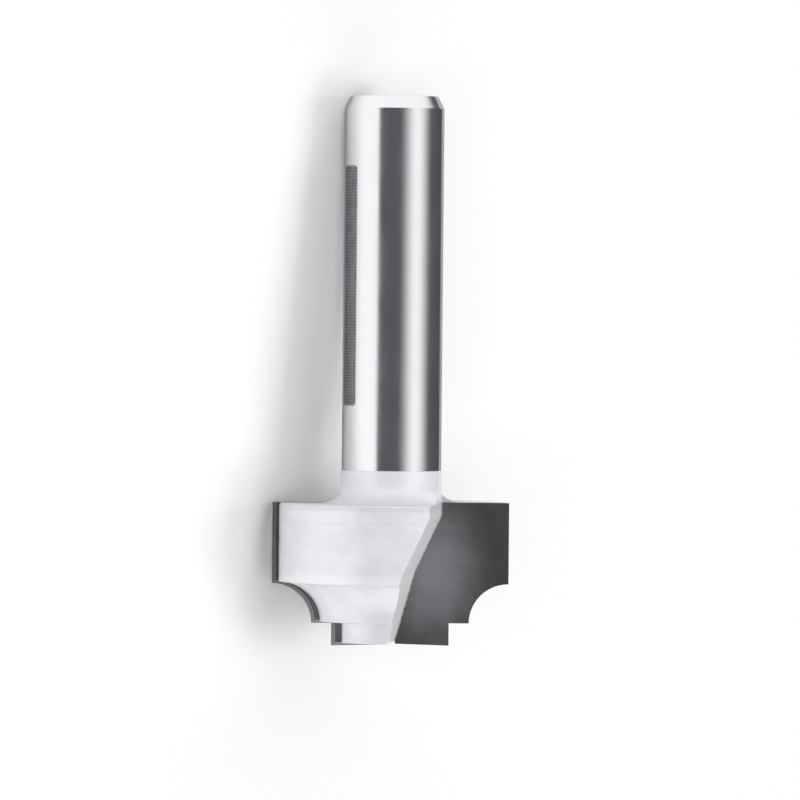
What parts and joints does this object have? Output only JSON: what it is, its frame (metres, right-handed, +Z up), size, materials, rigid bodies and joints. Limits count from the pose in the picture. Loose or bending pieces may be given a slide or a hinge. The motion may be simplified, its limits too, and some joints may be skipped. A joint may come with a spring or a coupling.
{
  "type": "groove router bit",
  "caption": "Plunge groove router bit: a plain round shank, a short neck and a stepped, coved head with carbide cutting plates brazed beside open chip gullets.",
  "frame": {"origin": "on the floor, under the middle of the bit's bounding box, with the bit lying on its back flute as it comes to rest", "axes": "+X along the bit towards its cutting end, -X towards the free end of the shank, +Y across it, +Z up"},
  "size_m": [0.0446, 0.0184, 0.0156],
  "materials": {
    "steel": "bright ground shank; neck and head with a pale silver-white satin coating",
    "carbide": "dark fine-ground tungsten carbide",
    "braze": "thin satin silver solder line"
  },
  "bodies": {
    "root": {"steel_body": "steel", "carbide_tip_1": "carbide", "carbide_tip_2": "carbide", "braze_seam_1": "braze", "braze_seam_2": "braze"}
  },
  "joints": []
}
